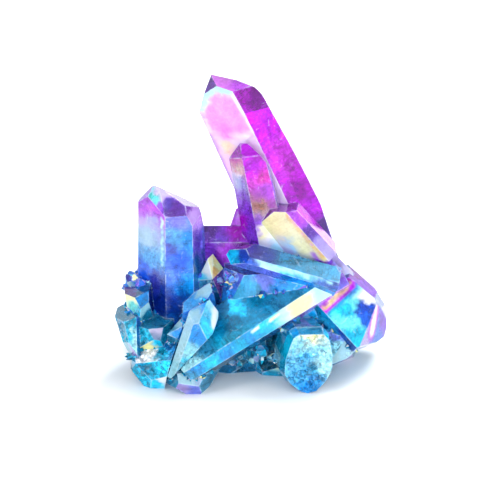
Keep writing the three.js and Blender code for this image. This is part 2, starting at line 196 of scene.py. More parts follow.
# A face, or a place on one, is named as the scene's camera sees it: in pixels from the left
# and upper sides of its square view. The camera looks at the crystals through a long lens.
LOOK_AT = Vector((-0.0004, -0.00065, 0.0216))  # metres
STAND_OFF = 0.45  # metres
LOOK_DOWN = math.radians(20)
VIEW_BACK = Vector((0, -math.cos(LOOK_DOWN), math.sin(LOOK_DOWN)))
VIEW_UP = Vector((0, math.sin(LOOK_DOWN), math.cos(LOOK_DOWN)))
VIEW_SIZE = 500  # pixels
SENSOR = 36.0  # mm
LENS = 170.53  # mm


def seen_at(across, down):
    """Where the sight line through a pixel of the view first meets the solid, in mm, and the
    facet it meets: it leaves the lens along the view's axis, turned by the pixel's distance
    from the middle."""
    pixel = SENSOR / LENS / VIEW_SIZE
    line = (down - VIEW_SIZE / 2) * -pixel * VIEW_UP - VIEW_BACK
    line.x += (across - VIEW_SIZE / 2) * pixel
    lens_at = (LOOK_AT + STAND_OFF * VIEW_BACK) / MM
    place, _, outline, _ = triangles_of_cad.ray_cast(lens_at, line)
    return np.array(place), facet[outline]


# Faces that broke instead of growing: a place on each, and how deep its texture is in mm.
BROKEN = [
    ((308, 362), 0.3),  # the end of the stub
    ((337, 348), 0.16),  # the ledge
    ((349, 352), 0.14),
    ((150, 367), 0.2),  # the lowest lump on the left
    ((158, 350), 0.16),
    ((147, 382), 0.14),
    ((127, 335), 0.14),  # the bulge on the left
    ((120, 330), 0.12),
    ((145, 337), 0.12),  # the low block beside it
    ((245, 366), 0.2),  # the crust under the slab
    ((265, 366), 0.2),
]
BROKEN_STEP = 0.34  # mm between points across a broken face
CHIP = 1.0  # mm between the middles of neighbouring chips
CHIP_TILT = 1.8  # spread of the chips' slopes, in depths per chip
CHIP_DROP = (-1.1, 0.1)  # depths at which the chips' middles lie
CHIP_GRAIN = 0.1  # fine unevenness, in depths
CHIP_LIMIT = (-1.6, 0.3)  # lowest and highest point, in depths
CHIP_FADE = 0.4  # mm over which the texture grows beside the worn strip
broken = {seen_at(*place)[1]: depth for place, depth in BROKEN}

WAVE_HEIGHT = 0.02  # mm, the slow unevenness of a grown face
WAVE_FADE = 1.5  # mm over which it grows beside the worn strip
WAVE_PITCH = 1.1  # radians per mm
WAVE_COUNT = 7
WAVES = np.random.default_rng(4).normal(0, WAVE_PITCH, (WAVE_COUNT, 3))
WAVE_FROM = np.random.default_rng(5).uniform(0, 2 * math.pi, WAVE_COUNT)
grain = np.random.default_rng(6)


def waves(points):
    """Slow unevenness: the mean of a few sine waves in set directions."""
    return np.sin(points @ WAVES.T + WAVE_FROM).mean(1)


def chips(points, depth):
    """Broken texture: scattered middles, each with its own tilted plane, and at every point
    the height of the nearest middle's plane, with fine grain on it, kept within limits."""
    low, high = points.min(0) - CHIP, points.max(0) + CHIP
    middles = grain.uniform(low, high, (int(np.prod(high - low) / CHIP**2) + 1, 2))
    tilts = grain.normal(0, CHIP_TILT * depth / CHIP, middles.shape)
    drops = grain.uniform(*CHIP_DROP, len(middles)) * depth
    nearest = ((points[:, None] - middles) ** 2).sum(2).argmin(1)
    height = drops[nearest] + ((points - middles[nearest]) * tilts[nearest]).sum(1)
    height += grain.normal(0, CHIP_GRAIN * depth, len(points))
    return np.clip(height, CHIP_LIMIT[0] * depth, CHIP_LIMIT[1] * depth)


NO_EDGE = 9.0  # mm, the distance given where a face has no clear edge
SKEW = (0.3, 0.5, 0.8)  # a direction that no face's normal has
KEEP_INSIDE = 1  # the triangulation's choice to fill the outline and nothing past it
vertices = [rim_points]
rim_gap = np.full(len(rim_points), NO_EDGE)
vertex_gap = [rim_gap]
triangles = []
triangle_face = []
count = len(rim_points)
for face, (ring, normal) in enumerate(zip(outlines, normals)):
    across = np.cross(normal, SKEW)
    across /= np.linalg.norm(across)
    up = np.cross(normal, across)
    origin = centres[face]
    flat = np.stack([(rim_points[ring] - origin) @ across, (rim_points[ring] - origin) @ up], 1)
    turned = np.roll(flat, -1, 0)
    area = 0.5 * (flat[:, 0] * turned[:, 1] - turned[:, 0] * flat[:, 1]).sum()
    girth = np.linalg.norm(turned - flat, axis=1).sum()
    step = BROKEN_STEP if facet[face] in broken else FACE_STEP
    if normal[2] < SAWN_NORMAL:
        step *= SAWN_STEP
    roomy = area > WORN / 2 * girth  # a sliver has no room inside its worn strip
    inner = points_inside(flat, step) if roomy else np.zeros((0, 2))
    made = delaunay_2d_cdt(
        [Vector(p) for p in np.vstack([flat, inner])],
        [(i, (i + 1) % len(ring)) for i in range(len(ring))],
        [],
        KEEP_INSIDE,
        SAME_POINT,
    )
    source = np.array([ids[0] for ids in made[3]])
    index = np.concatenate([ring, count + np.arange(len(inner))])
    count += len(inner)
    triangles.append(index[source[np.array(made[2])]])
    triangle_face.append(np.full(len(made[2]), face))
    real = clear_edge[np.repeat(faces[face][1], steps[faces[face][1]])]
    gap = np.full(len(flat) + len(inner), NO_EDGE)
    if real.any():
        gap = edge_gap(np.vstack([flat, inner]), flat[real], turned[real])[0]
    rim_gap[ring] = np.minimum(rim_gap[ring], gap[: len(ring)])
    gap = gap[len(ring) :]
    solid = origin + inner[:, :1] * across + inner[:, 1:] * up
    height = WAVE_HEIGHT * waves(solid) * np.clip((gap - WORN) / WAVE_FADE, 0, 1)
    if facet[face] in broken and len(inner):
        height = chips(inner, broken[facet[face]]) * np.clip((gap - WORN) / CHIP_FADE, 0, 1)
    vertices.append(solid + height[:, None] * normal)
    vertex_gap.append(gap)
vertex_gap[0] = rim_gap
vertices = np.vstack(vertices)
vertex_gap = np.concatenate(vertex_gap)
triangles = np.vstack(triangles)
triangle_face = np.concatenate(triangle_face)

# Outer edges are worn back a little, more where they are sharper; inner corners stay.
WORN_DEPTH = 0.05  # mm
FULL_WEAR = math.radians(45)  # bend from which an edge is worn to the full depth
lean = np.zeros(len(rim_points))
shared = np.zeros(len(rim_points))
pushed = np.zeros((len(rim_points), 3))
for ring, normal in zip(outlines, normals):
    np.add.at(pushed, ring, normal)
on_edge = np.repeat(np.arange(len(edges)), steps - 1)
lean[len(corners):] = bend[on_edge]
np.add.at(lean, edges.ravel(), np.repeat(bend, 2))
np.add.at(shared, edges.ravel(), 1)
lean[: len(corners)] /= np.maximum(shared[: len(corners)], 1)
pushed /= np.maximum(np.linalg.norm(pushed, axis=1, keepdims=True), TINY)
wear = WORN_DEPTH * np.clip(lean / FULL_WEAR, 0, 1)
wear[rim_points[:, 2] < WORN] = 0
vertices[: len(rim_points)] -= pushed * wear[:, None]

# ---- the colours of the film --------------------------------------------------------------
# Gold vapour is fused to the quartz in a film thinner than a wavelength of light. It turns
# the low faces aqua and the high ones magenta. Where a face mirrors the studio light it
# flashes pale yellow, ice blue or rose: these flashes are painted reflections in its colour.

FILM = {
    "white": "ffffff",
    "blush": "fdeefc",
    "pale pink": "f3c6ee",
    "pink": "f29ef8",
    "orchid pink": "f09df5",
    "orchid": "b24fd6",
    "rose": "d43bb0",
    "rose magenta": "cc2ed8",
    "bright violet": "c219ea",
    "magenta": "c20ce2",
    "dark magenta": "a814b8",
    "plum": "78008a",
    "mauve": "c078cc",
    "dusk mauve": "8d4ba6",
    "dusk violet": "62388f",
    "indigo": "3b3a92",
    "violet": "8747cf",
    "lilac": "a58fd0",
    "pale lilac": "cfc3ea",
    "periwinkle": "6f7fe6",
    "cornflower": "4f83ea",
    "denim": "4a5fae",
    "royal": "1f63dc",
    "deep blue": "1247b8",
    "navy": "10348c",
    "azure": "1a97ea",
    "sky": "58b7ea",
    "cyan": "1ccbf6",
    "ice": "b6f3fd",
    "bright ice": "74effb",
    "mist": "98c8d6",
    "dove": "93a5d2",
    "pale aqua": "8ccfe0",
    "steel": "3c92b8",
    "teal": "148cb4",
    "aqua": "16b2d6",
    "deep teal": "0a668c",
    "dark teal": "0c4252",
    "sea green": "55e0d2",
    "straw": "fffcae",
    "amber": "f8cf78",
    "tan": "c79c84",
    "bronze": "9a6b52",
}
SCREEN_POWER = 2.2


def linear(name):
    """A film colour's red, green and blue as light: each screen share to the screen's power."""
    code = FILM[name]
    return (np.array([int(code[i : i + 2], 16) for i in (0, 2, 4)]) / 255) ** SCREEN_POWER


# Painted faces: places on each in the view, with the colour painted there. The first place
# names the face, and between the places the colours run into each other. The white, blush,
# straw, ice and pink places on the spire's pale left face, the pale blade, the slab's front
# strip and the lobe's front are painted reflections of the studio light, and the dark teal
# under the slab is partly painted shade.
PAINTED = [
    ("spire, pale left face", [
        (222, 118, "pink"), (211, 106, "pink"), (228, 101, "pink"), (235, 112, "pink"),
        (227, 131, "pink"), (241, 128, "pink"), (217, 98, "pink"), (211, 122, "pink"),
        (205, 109, "pink"), (203, 101, "ice"), (222, 89, "ice"), (226, 146, "straw"),
        (228, 149, "straw"), (216, 147, "white"), (236, 143, "white"), (246, 142, "white"),
        (222, 156, "white"), (228, 160, "white"), (283, 198, "white"),
    ]),
    ("spire, top", [(225, 81, "mauve"), (238, 84, "orchid")]),
    ("spire, small left facet", [(209, 85, "dusk violet")]),
    ("spire, dark cap", [(255, 100, "plum"), (241, 97, "dark magenta")]),
    ("spire, magenta right face", [
        (262, 120, "magenta"), (285, 155, "rose magenta"), (303, 190, "dark magenta"),
        (313, 205, "magenta"), (325, 230, "dusk violet"),
    ]),
    ("companion, tip front", [(250, 151, "magenta")]),
    ("companion, tip left", [(236, 153, "dark magenta")]),
    ("companion, left face", [
        (238, 169, "tan"), (236, 162, "rose"), (239, 180, "dove"), (242, 205, "violet"),
        (242, 222, "dark magenta"), (252, 232, "violet"),
    ]),
    ("companion, middle face", [
        (254, 170, "magenta"), (262, 178, "rose"), (266, 192, "orchid"), (258, 207, "bronze"),
        (256, 226, "violet"), (265, 233, "straw"), (269, 240, "white"), (274, 246, "ice"),
    ]),
    ("companion, right face", [(273, 185, "violet"), (277, 200, "dusk violet")]),
    ("blue point, left shoulder", [(150, 189, "lilac")]),
    ("blue point, chip", [(155, 197, "sea green"), (159, 191, "pale lilac"), (163, 209, "violet")]),
    ("blue point, front cap", [
        (175, 206, "dusk violet"), (163, 196, "pale lilac"), (168, 202, "indigo"),
    ]),
    ("blue point, right cap", [(191, 212, "pale lilac"), (188, 208, "dusk violet")]),
    ("blue point, upper right strip", [(180, 198, "pale lilac")]),
    ("blue point, left face", [
        (152, 222, "dove"), (146, 206, "orchid"), (158, 212, "orchid"), (148, 238, "mist"),
        (150, 257, "sky"), (144, 271, "royal"), (154, 281, "indigo"), (160, 303, "navy"),
    ]),
    ("blue point, right face", [
        (174, 240, "sky"), (178, 222, "periwinkle"), (188, 240, "azure"), (170, 248, "denim"),
        (180, 258, "royal"), (170, 273, "cornflower"), (185, 285, "azure"), (174, 298, "navy"),
    ]),
    ("blue point, right side", [
        (199, 240, "indigo"), (199, 218, "pale lilac"), (203, 240, "periwinkle"),
        (196, 266, "deep teal"),
    ]),
    ("pyramid, left", [(206, 270, "white"), (202, 278, "cyan")]),
    ("pyramid, middle", [(211, 270, "straw")]),
    ("pyramid, right", [(216, 271, "amber"), (220, 266, "straw")]),
    ("pyramid footing, front", [(204, 283, "steel")]),
    ("pyramid footing, dark side", [(217, 284, "dusk mauve")]),
    ("pyramid footing, low side", [(219, 294, "deep teal")]),
    ("shoulder", [(196, 297, "azure"), (202, 291, "mist")]),
    ("pale blade, face", [
        (273, 217, "straw"), (281, 226, "straw"), (267, 224, "straw"), (287, 233, "straw"),
        (290, 245, "ice"), (303, 248, "straw"), (298, 243, "straw"), (322, 257, "orchid"),
    ]),
    ("pale blade, end", [(283, 208, "dusk mauve")]),
    ("pale blade, side", [(308, 232, "dusk violet"), (298, 220, "orchid"), (325, 250, "lilac")]),
    ("pale blade, far side", [
        (318, 228, "rose magenta"), (305, 215, "orchid pink"), (330, 244, "orchid"),
    ]),
    ("flat blade, upper face", [
        (285, 259, "steel"), (258, 254, "indigo"), (268, 257, "denim"), (312, 268, "steel"),
        (333, 271, "sky"),
    ]),
    ("flat blade, front strip", [
        (290, 275, "cyan"), (254, 261, "royal"), (264, 264, "ice"), (303, 279, "azure"),
        (330, 287, "denim"),
    ]),
    ("flat blade, under", [(270, 274, "periwinkle"), (295, 281, "azure")]),
    ("flat blade, end", [(243, 255, "deep blue"), (233, 257, "cyan")]),
    ("heart", [
        (265, 279, "periwinkle"), (280, 284, "azure"), (250, 287, "steel"), (238, 292, "teal"),
    ]),
    ("bridge, upper", [
        (222, 234, "violet"), (212, 230, "dusk violet"), (235, 231, "dark magenta"),
    ]),
    ("bridge, lower", [(225, 250, "orchid"), (212, 247, "violet"), (238, 246, "dusk mauve")]),
    ("bridge peak", [(236, 216, "orchid")]),
    ("slab, top", [
        (250, 302, "teal"), (222, 306, "steel"), (292, 294, "steel"), (222, 328, "teal"),
        (225, 342, "aqua"), (206, 352, "steel"), (190, 364, "ice"),
    ]),
    ("slab, front strip", [
        (272, 322, "cyan"), (262, 329, "cyan"), (318, 294, "ice"), (306, 300, "straw"),
        (293, 308, "straw"), (282, 314, "ice"), (250, 337, "azure"), (240, 344, "cyan"),
        (226, 354, "azure"), (212, 362, "cyan"), (195, 366, "azure"), (192, 376, "steel"),
    ]),
    ("slab, under the strip", [(245, 352, "deep teal"), (348, 286, "pink")]),
    ("slab foot, front", [(190, 383, "mist"), (200, 382, "dove")]),
    ("slab foot, rim", [(185, 388, "lilac"), (195, 390, "periwinkle")]),
    ("slab foot, left", [(172, 381, "steel")]),
    ("slab foot, right", [(206, 381, "steel")]),
    ("front point, left face", [(187, 328, "mist"), (180, 350, "mist"), (174, 366, "pale aqua")]),
    ("front point, left cap", [(196, 314, "mist"), (201, 305, "azure")]),
    ("front point, right cap", [(208, 318, "cyan"), (207, 328, "cyan"), (214, 313, "ice")]),
    ("front point, right face", [(200, 338, "azure"), (188, 355, "pale aqua"), (184, 362, "aqua")]),
    ("bright block, top", [(135, 291, "dusk violet"), (143, 289, "azure")]),
    ("bright block, left", [(133, 307, "sea green"), (131, 300, "straw"), (138, 314, "cyan")]),
    ("bright block, front", [(142, 300, "azure")]),
    ("bright block, low right", [(150, 312, "teal"), (146, 307, "ice")]),
    ("bright block, right side", [(153, 300, "navy")]),
    ("bulge, top", [(129, 317, "teal")]),
    ("bulge, left", [(120, 330, "teal"), (123, 338, "aqua")]),
    ("bulge, front", [(127, 335, "cyan"), (133, 325, "aqua"), (134, 334, "ice")]),
    ("bulge, low left", [(128, 348, "pale aqua"), (134, 353, "lilac")]),
    ("low block, top", [(157, 324, "steel"), (165, 322, "teal")]),
    ("low block, left", [(145, 337, "aqua"), (143, 329, "cyan")]),
    ("low block, right", [(157, 332, "pale lilac"), (157, 338, "deep teal")]),
    ("low block, side", [(167, 326, "teal")]),
    ("lowest lump, top", [(150, 346, "straw"), (158, 343, "cyan")]),
    ("lowest lump, upper front", [(158, 350, "aqua"), (150, 352, "white"), (170, 344, "azure")]),
    ("lowest lump, front", [(150, 367, "aqua"), (160, 367, "cyan"), (145, 369, "teal")]),
    ("lowest lump, lower left", [(142, 376, "aqua"), (147, 382, "cyan")]),
    ("lowest lump, bottom", [(156, 382, "cyan"), (164, 380, "white")]),
    ("flake, upper", [(177, 325, "mist"), (172, 331, "steel")]),
    ("flake, lower", [(173, 337, "steel")]),
    ("stub, end", [
        (308, 358, "sky"), (311, 337, "straw"), (300, 344, "pale aqua"), (319, 349, "pale aqua"),
        (309, 370, "steel"), (322, 362, "ice"), (300, 372, "sky"), (308, 389, "azure"),
    ]),
    ("stub, top", [(310, 330, "steel")]),
    ("stub, upper band", [(300, 322, "steel")]),
    ("stub, near left", [(287, 350, "aqua")]),
    ("stub, far left", [(279, 355, "pale aqua")]),
    ("lobe, front", [
        (351, 300, "bright ice"), (345, 312, "cyan"), (358, 291, "ice"), (366, 296, "white"),
        (364, 309, "deep blue"), (366, 316, "royal"), (354, 322, "bright ice"), (352, 336, "cyan"),
        (344, 321, "bright ice"),
    ]),
    ("lobe, right", [
        (376, 331, "cornflower"), (375, 315, "periwinkle"), (382, 320, "violet"), (365, 340, "lilac"),
    ]),
    ("lobe, upper rim", [(365, 285, "violet"), (356, 274, "dusk mauve")]),
    ("lobe, right rim", [(379, 300, "periwinkle")]),
    ("lobe, far right", [(385, 315, "lilac")]),
    ("lobe, low", [(365, 346, "pale lilac")]),
    ("lobe, crevice side", [(332, 323, "teal"), (343, 337, "navy")]),
    ("ledge, front", [(337, 348, "pale aqua"), (336, 335, "periwinkle")]),
    ("ledge, corner", [(342, 352, "mist")]),
    ("ledge, right", [(349, 352, "mist")]),
    ("root", [(347, 270, "pale lilac"), (341, 264, "lilac")]),
    ("crust under the slab", [(245, 366, "deep teal")]),
    ("crust, right of it", [(265, 366, "dark teal")]),
    ("crust, left of it", [(230, 372, "deep teal")]),
    ("crust, pale lump", [(258, 357, "dove")]),
    ("crust, pale lump's side", [(252, 361, "ice")]),
    ("druse, left one", [(131, 278, "indigo")]),
    ("druse, middle one", [(136, 278, "straw")]),
    ("druse, right one", [(140, 283, "royal")]),
]

HEIGHTS = [-1, 3, 8, 13, 18, 23, 29, 38, 48, 56]  # mm above the sawn base
HUES = [
    "deep teal", "teal", "aqua", "azure", "cornflower", "violet", "orchid", "magenta",
    "dark magenta", "plum",
]
# Pale tints for painted reflections of the studio light on unpainted faces.
REFLECTION_TINTS = ["ice", "straw", "pale lilac", "cyan", "blush", "sky", "pale pink"]
RUN = np.array([linear(name) for name in HUES])
chance = np.random.default_rng(12)


def by_height(heights):
    """The film's colour at each height, blended between the set heights."""
    return np.stack([np.interp(heights, HEIGHTS, RUN[:, i]) for i in range(3)], 1)


# The round side of the broken stub, as a box in mm: its narrow flats carry one even colour.
STUB_SIDE = np.array([(5, -18.4, 0), (18, -7, 16)])
STUB_SHIFT = (0.35, 0.45)  # stands in for the drawn chance there
HEIGHT_SHIFT = 9  # mm by which a face's colours may lie off its height
HEIGHT_MIDDLE = 0.45  # the drawn chance that leaves them where they are
HEIGHT_DRIFT = 0.8  # mm by which they wander within a face
DRIFT_PITCH = 0.7  # share of the growth waves' pitch
# The pale flashes are painted reflections of the studio light.
REFLECTING_SHARE = 0.4  # share of the faces with a pale flash
REFLECTION_START = 0.6  # how much of the face's width its start may move
REFLECTION_SLOPE = 1.6  # a flash is full after one over this of the width
REFLECTION_POWER = 1.5  # and starts softly
NARROW = 0.5  # mm, the least width that a flash runs over
DARK = 0.18  # share of the faces that are dark
DARK_TONE = 0.45


def grown_film(points, centre, normal):
    """An unpainted face: its colour by height, shifted up or down as a whole, with the odd pale
    flash, a painted reflection that fades across the face, and the odd dark face."""
    shift, reflection_draw, dark, start, _ = chance.uniform(0, 1, 5)
    if np.all((centre > STUB_SIDE[0]) & (centre < STUB_SIDE[1])):
        shift, reflection_draw, dark = np.interp(shift, (0, 1), STUB_SHIFT), 1, 1
    heights = points[:, 2] + HEIGHT_SHIFT * (shift - HEIGHT_MIDDLE)
    colour = by_height(heights + HEIGHT_DRIFT * waves(points * DRIFT_PITCH))
    way = np.cross(normal, chance.normal(0, 1, 3))
    way /= max(np.linalg.norm(way), TINY)
    along = (points - centre) @ way
    if reflection_draw < REFLECTING_SHARE:
        pale = linear(REFLECTION_TINTS[int(reflection_draw / REFLECTING_SHARE * len(REFLECTION_TINTS))])
        run = along / max(np.ptp(along), NARROW) + 0.5 - REFLECTION_START * start
        share = np.clip(REFLECTION_SLOPE * run, 0, 1)[:, None] ** REFLECTION_POWER
        colour = colour * (1 - share) + pale * share
    if dark < DARK:
        colour = colour * DARK_TONE
    return colour


# Bands along an edge of a painted face: the face, the edge's ends in the view, and the colours
# at distances from it in mm. The pale ice, white and straw bands are painted highlights along
# the edges; the other colours are the film's.
RIMS = [
    ("spire, pale left face", (201, 110), (206, 96), [(0, "ice"), (0.6, "ice"), (1.1, "pink")]),
    ("spire, pale left face", (206, 96), (216, 88), [(0, "ice"), (0.6, "ice"), (1.1, "pink")]),
    ("spire, pale left face", (216, 88), (231, 93), [(0, "ice"), (0.5, "ice"), (1, "pink")]),
    ("spire, pale left face", (233, 95), (262, 150), [(0, "ice"), (0.2, "white"), (0.45, "blush")]),
    ("spire, pale left face", (202, 114), (232, 184), [
        (0, "lilac"), (0.25, "pale lilac"), (0.7, "blush"),
    ]),
    ("lobe, front", (324, 308), (350, 283), [
        (0, "plum"), (0.25, "amber"), (0.5, "rose magenta"), (0.95, "bright violet"), (1.4, "azure"),
        (2.6, "cyan"),
    ]),
    ("lobe, right", (373, 297), (372, 332), [
        (0, "cyan"), (0.4, "straw"), (0.9, "pink"), (1.4, "bright violet"), (2.2, "violet"),
    ]),
    ("pale blade, face", (288, 216), (323, 257), [
        (0, "orchid pink"), (0.25, "amber"), (0.7, "straw"), (1.2, "straw"),
    ]),
    ("slab, front strip", (252, 331), (313, 294), [(0, "amber"), (0.12, "straw"), (0.3, "straw")]),
    ("front point, right cap", (215, 309), (214, 325), [(0, "white"), (0.4, "white"), (1, "ice")]),
    ("blue point, left face", (162, 218), (162, 264), [(0, "ice"), (0.15, "ice"), (0.4, "sky")]),
    ("flat blade, front strip", (258, 261), (330, 283), [
        (0, "pale aqua"), (0.15, "ice"), (0.4, "sky"),
    ]),
]

BORDER_DRIFT = 1.1  # mm, how far the borders between colours wander
BAND_DRIFT = 0.25  # mm, the same for the bands
BAND_FADE = 2.2  # how steeply a band fades at its last distance
DRIFTS = [(1.3, 1, (0, 40, 80)), (3.1, 0.5, (10, 50, 90))]  # pitch, strength, starts in x, y, z
SPOT_CORE = 0.4  # mm², added to a spot's squared distance so that none is a hard dot
CRISP = ("lobe", "lowest lump", "bulge", "bright block", "heart", "blue point, chip")
CRISP_POWER = 5
SOFT_POWER = 2


def painted_film(points, name, spots):
    """A painted face: the mean of its spots' colours, each weighted by a power of one over its
    squared distance, measured from a point that drifts a little. Its bands lie over that and
    fade out at their last distance."""
    places = np.array([seen_at(across, down)[0] for across, down, _ in spots])
    colours = np.array([linear(colour) for _, _, colour in spots])
    drift = sum(
        strength * np.stack([waves(points * pitch + start) for start in starts], 1)
        for pitch, strength, starts in DRIFTS
    )
    square = ((points[:, None] + BORDER_DRIFT * drift[:, None] - places) ** 2).sum(2)
    weight = 1 / (square + SPOT_CORE) ** (CRISP_POWER if name.startswith(CRISP) else SOFT_POWER)
    colour = (weight @ colours) / weight.sum(1, keepdims=True)
    for face_name, start, end, steps_in in RIMS:
        if face_name != name:
            continue
        start = seen_at(*start)[0]
        side = seen_at(*end)[0] - start
        share = np.clip((points - start) @ side / (side @ side), 0, 1)[:, None]
        gap = np.linalg.norm(points + BAND_DRIFT * drift - start - share * side, axis=1)
        reaches = [reach for reach, _ in steps_in]
        run = np.array([linear(tint) for _, tint in steps_in])
        band = np.stack([np.interp(gap, reaches, run[:, i]) for i in range(3)], 1)
        share = np.clip(BAND_FADE * (1 - gap / reaches[-1]), 0, 1)[:, None]
        colour = colour * (1 - share) + band * share
    return colour


painted = {seen_at(*spots[0][:2])[1]: (name, spots) for name, spots in PAINTED}
film = np.empty((3 * len(triangles), 4))
film[:, 3] = 1
corner_points = vertices[triangles.ravel()]
corner_facet = np.repeat(facet[triangle_face], 3)
by_facet = np.argsort(corner_facet, kind="stable")
corners_of = np.split(by_facet, np.searchsorted(corner_facet[by_facet], np.arange(1, len(faces))))
for one, chosen in enumerate(corners_of):
    if one in painted:
        film[chosen, :3] = painted_film(corner_points[chosen], *painted[one])
    elif len(chosen):
        film[chosen, :3] = grown_film(corner_points[chosen], centres[one], normals[one])

# Fine growth lines run round the sides of a crystal, across its axis: foot and tip in mm.
AXES = np.array([
    [(15.1, 6, 10.5), (-3.8, 6, 50.8)],  # the spire
    [(3.5, -1, 20), (-1, -1, 41.5)],  # the slim point before it
    [(-14.7, -3, 8.5), (-14.8, -2, 32.5)],  # the blue point
    [(13.8, -3, 21.1), (5, -3, 31.5)],  # the pale blade
    [(16.4, -9.4, 18.6), (-3, -9, 24.5)],  # the flat blade
    [(15.5, -4, 20), (-13, -16, 5)],  # the slab
    [(-13, -17.6, 2.4), (-7.5, -15, 17)],  # the front point
    [(-13, 6, 17.5), (3, 6, 17.5)],  # the bridge
    [(1, 6, 6), (2.5, 19, 26)],  # the crystals at the back
    [(-8, 6, 5), (-15, 16, 22)],
    [(8, 6, 6), (13, 15.5, 18.5)],
    [(-3, 10, 4), (-6, 22, 13)],
    [(-13, 4, 4), (-21.5, 12.5, 10)],
    [(14, 4, 4), (22, 11, 8)],
    [(6, 12, 3), (10, 21, 8)],
    [(-7, 6, 6), (-8.5, 13, 21)],
    [(-3, 8, 6), (-2, 15.5, 18)],
    [(12, 4, 6), (16.5, 10, 16)],
])
AXIS_WAYS = AXES[:, 1] - AXES[:, 0]
AXIS_WAYS /= np.linalg.norm(AXIS_WAYS, axis=1, keepdims=True)
SIDE_LEAN = 0.07  # the most that a side's normal leans along the axis
SIDE_REACH = 13  # mm from the axis


def growth_along(points, centre, normal):
    """The distance along the crystal's axis where the face is one of its sides, else 0."""
    off = centre - AXES[:, 0]
    reach = np.linalg.norm(off - (off * AXIS_WAYS).sum(1, keepdims=True) * AXIS_WAYS, axis=1)
    reach[np.abs(AXIS_WAYS @ normal) > SIDE_LEAN] = np.inf
    nearest = reach.argmin()
    return points @ AXIS_WAYS[nearest] if reach[nearest] < SIDE_REACH else np.zeros(len(points))


growth = np.zeros(len(corner_points))
broken_share = np.isin(corner_facet, list(broken)).astype(float)

# Bruises on whole faces: a place on each and its reach in mm. The share of broken texture is
# full near the place and 0 past its reach.
BRUISES = [
    ((196, 360), 4.5),  # the lower end of the slab
    ((364, 305), 1.9),  # the dark hollow of the lobe
    ((370, 316), 1.6),
    ((328, 302), 1.3),  # the lobe's edge by the slab
    ((337, 290), 1.3),
    ((259, 210), 2.2),  # the foot of the slim point
    ((155, 195), 1.6),  # the chip on the blue point
]
BRUISE_SLOPE = 1.3  # over 1, so that the middle of a bruise is full
for place, reach in BRUISES:
    away = np.linalg.norm(corner_points - seen_at(*place)[0], axis=1)
    bruised = np.clip(BRUISE_SLOPE * (1 - away / reach), 0, 1)
    broken_share = np.maximum(broken_share, bruised)
for one, chosen in enumerate(corners_of):
    if len(chosen):
        growth[chosen] = growth_along(corner_points[chosen], centres[one], normals[one])

SMOOTH_TO = math.radians(12)  # edges that bend less are shaded smooth


def crystal_mesh(name, points, faces_of_three, film_colours, growths, brokens, gaps):
    """A mesh in metres from points in mm, with the film's colour, the distance along the
    crystal and whether the face is broken at every corner, and each point's distance from
    an edge."""
    mesh = bpy.data.meshes.new(name)
    mesh.from_pydata(points * MM, [], faces_of_three)
    for layer, kind, where, key, values in (
        ("film", "FLOAT_COLOR", "CORNER", "color", film_colours),
        ("growth", "FLOAT", "CORNER", "value", growths),
        ("broken", "FLOAT", "CORNER", "value", brokens),
        ("edge_gap", "FLOAT", "POINT", "value", gaps),
    ):
        attribute = mesh.attributes.new(layer, kind, where)
        attribute.data.foreach_set(key, values.astype(np.float32).ravel())
    mesh.shade_smooth()
    mesh.set_sharp_from_angle(angle=SMOOTH_TO)
    piece = bpy.data.objects.new(name, mesh)
    bpy.context.collection.objects.link(piece)
    return piece


cluster = crystal_mesh("aura_cluster", vertices, triangles, film, growth, broken_share, vertex_gap)

# ---- the quartz -----------------------------------------------------------------------------
# Clear quartz with healed cracks and veils inside, under the metal film. The film is seen
# from outside and through the crystal, and a painted pale highlight line runs along its edges.

quartz = bpy.data.materials.new("aura_quartz")
quartz.use_nodes = True
nodes, links = quartz.node_tree.nodes, quartz.node_tree.links
nodes.clear()


def add(kind, tree=quartz.node_tree, **inputs):
    """A node with some of its inputs set by name, in which an underscore is a space."""
    node = tree.nodes.new(kind)
    for key, value in inputs.items():
        node.inputs[key.replace("_", " ")].default_value = value
    return node


def stored(name, output="Fac"):
    """What the mesh stores under a name."""
    node = add("ShaderNodeAttribute")
    node.attribute_name = name
    return node.outputs[output]


def noise(output="Fac", **inputs):
    """Noise that stands still in the piece."""
    node = add("ShaderNodeTexNoise", **inputs)
    links.new(in_piece.outputs["Object"], node.inputs["Vector"])
    return node.outputs[output]


def remap(value, span, onto):
    """A value's run over one span laid onto another span, and held at its ends."""
    node = add("ShaderNodeMapRange", From_Min=span[0], From_Max=span[1])
    node.inputs["To Min"].default_value = onto[0]
    node.inputs["To Max"].default_value = onto[1]
    links.new(value, node.inputs["Value"])
    return node.outputs["Result"]


def product(first, second):
    """Two values multiplied."""
    node = add("ShaderNodeMath")
    node.operation = "MULTIPLY"
    links.new(first, node.inputs[0])
    links.new(second, node.inputs[1])
    return node.outputs["Value"]


def blend(colour, share, tone=None, tint=None):
    """A colour multiplied by a tone, or covered by a tint, by a share."""
    node = add("ShaderNodeMix")
    node.data_type = "RGBA"
    links.new(share, node.inputs["Factor"])
    links.new(colour, node.inputs["A"])
    if tint:
        node.inputs["B"].default_value = tint
    else:
        node.blend_type = "MULTIPLY"
        links.new(tone, node.inputs["B"])
    return node.outputs["Result"]


in_piece = add("ShaderNodeTexCoord")
film_colour = stored("film", "Color")
split_film = add("ShaderNodeSeparateColor")
split_film.mode = "HSV"
links.new(film_colour, split_film.inputs["Color"])
saturation = split_film.outputs["Green"]

# Clouds and specks in the film, strongest where its colour is deep.
strength = remap(saturation, (0.45, 0.95), (0.12, 1))
clouds = noise(Scale=230, Detail=6, Roughness=0.7, Distortion=1.2)
clouded = blend(film_colour, strength, tone=remap(clouds, (0.36, 0.62), (0.55, 1.22)))
specks = noise(Scale=1500, Detail=4, Roughness=0.65, Distortion=0.6)
speckled = blend(clouded, strength, tone=remap(specks, (0.32, 0.68), (0.7, 1.25)))
